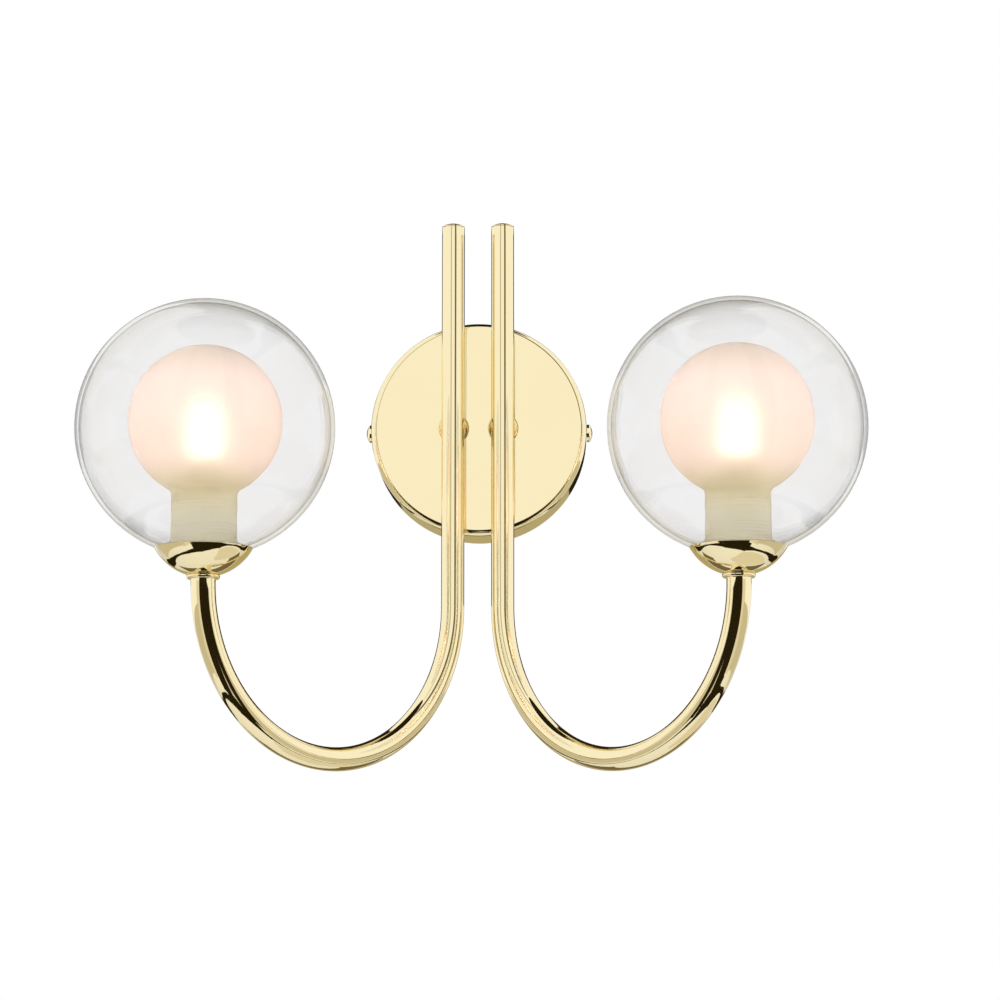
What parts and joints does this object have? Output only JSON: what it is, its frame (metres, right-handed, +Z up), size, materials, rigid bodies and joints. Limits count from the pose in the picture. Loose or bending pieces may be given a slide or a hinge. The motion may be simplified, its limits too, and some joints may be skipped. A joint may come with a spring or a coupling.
{
  "type": "double arm wall sconce",
  "caption": "Wall sconce with slender J-shaped tube arms on a round canopy, each ending in a cup that carries a clear glass globe with a frosted inner glass.",
  "frame": {"origin": "centre of the wall bracket's fixing pattern, on the wall plane", "axes": "+X to the viewer's right, +Z up, +Y into the wall"},
  "size_m": [0.3839, 0.225, 0.2915],
  "materials": {
    "gold": "polished, lacquered",
    "steel": "zinc plated",
    "alloy": "turned",
    "earth_brass": "plain",
    "silicone": "soft, translucent white",
    "ceramic": "unglazed white",
    "clear_glass": "clear, blown",
    "frosted_glass": "acid frosted",
    "sleeve": "woven glass sleeve",
    "earth_sleeve": "satin insulation",
    "block": "moulded",
    "lamp_base": "moulded",
    "lamp_cover": "milky, lit"
  },
  "bodies": {
    "wall_bracket": {"mounting_bracket": "steel", "earth_screw": "earth_brass"},
    "fixture": {"backplate": "gold", "earth_tag": "earth_brass", "earth_lead": "earth_sleeve", "terminal_block": "block", "terminal_screws": "earth_brass", "stem_left": "gold", "stem_boss_left": "gold", "stem_washer_left": "steel", "stem_nut_left": "steel", "arm_left": "gold", "arm_cap_left": "gold", "arm_collar_left": "gold", "shade_cup_left": "gold", "nipple_left": "steel", "shade_carrier_left": "alloy", "shade_gasket_left": "silicone", "carrier_nut_left": "steel", "holder_bracket_left": "steel", "lampholder_left": "ceramic", "holder_screws_left": "steel", "lead_left": "sleeve", "stem_right": "gold", "stem_boss_right": "gold", "stem_washer_right": "steel", "stem_nut_right": "steel", "arm_right": "gold", "arm_cap_right": "gold", "arm_collar_right": "gold", "shade_cup_right": "gold", "nipple_right": "steel", "shade_carrier_right": "alloy", "shade_gasket_right": "silicone", "carrier_nut_right": "steel", "holder_bracket_right": "steel", "lampholder_right": "ceramic", "holder_screws_right": "steel", "lead_right": "sleeve"},
    "retaining_left": {"retaining_screw_left": "gold"},
    "globe_left": {"outer_globe_left": "clear_glass", "inner_globe_left": "frosted_glass"},
    "lamp_left": {"lamp_base_left": "lamp_base", "lamp_pins_left": "steel", "lamp_cover_left": "lamp_cover"},
    "retaining_right": {"retaining_screw_right": "gold"},
    "globe_right": {"outer_globe_right": "clear_glass", "inner_globe_right": "frosted_glass"},
    "lamp_right": {"lamp_base_right": "lamp_base", "lamp_pins_right": "steel", "lamp_cover_right": "lamp_cover"}
  },
  "joints": [
    {"name": "canopy_lift_off", "type": "slide", "parent": "wall_bracket", "child": "fixture", "axis": [0, -1, 0], "range_m": [0, 0.04]},
    {"name": "retaining_screw_left_undo", "type": "slide", "parent": "wall_bracket", "child": "retaining_left", "axis": [-1, 0, 0], "range_m": [0, 0.0055]},
    {"name": "globe_left_lift_off", "type": "slide", "parent": "fixture", "child": "globe_left", "axis": [0, 0, 1], "range_m": [0, 0.085]},
    {"name": "lamp_left_pull_out", "type": "slide", "parent": "fixture", "child": "lamp_left", "axis": [0, 0, 1], "range_m": [0, 0.013]},
    {"name": "retaining_screw_right_undo", "type": "slide", "parent": "wall_bracket", "child": "retaining_right", "axis": [1, 0, 0], "range_m": [0, 0.0055]},
    {"name": "globe_right_lift_off", "type": "slide", "parent": "fixture", "child": "globe_right", "axis": [0, 0, 1], "range_m": [0, 0.085]},
    {"name": "lamp_right_pull_out", "type": "slide", "parent": "fixture", "child": "lamp_right", "axis": [0, 0, 1], "range_m": [0, 0.013]}
  ]
}
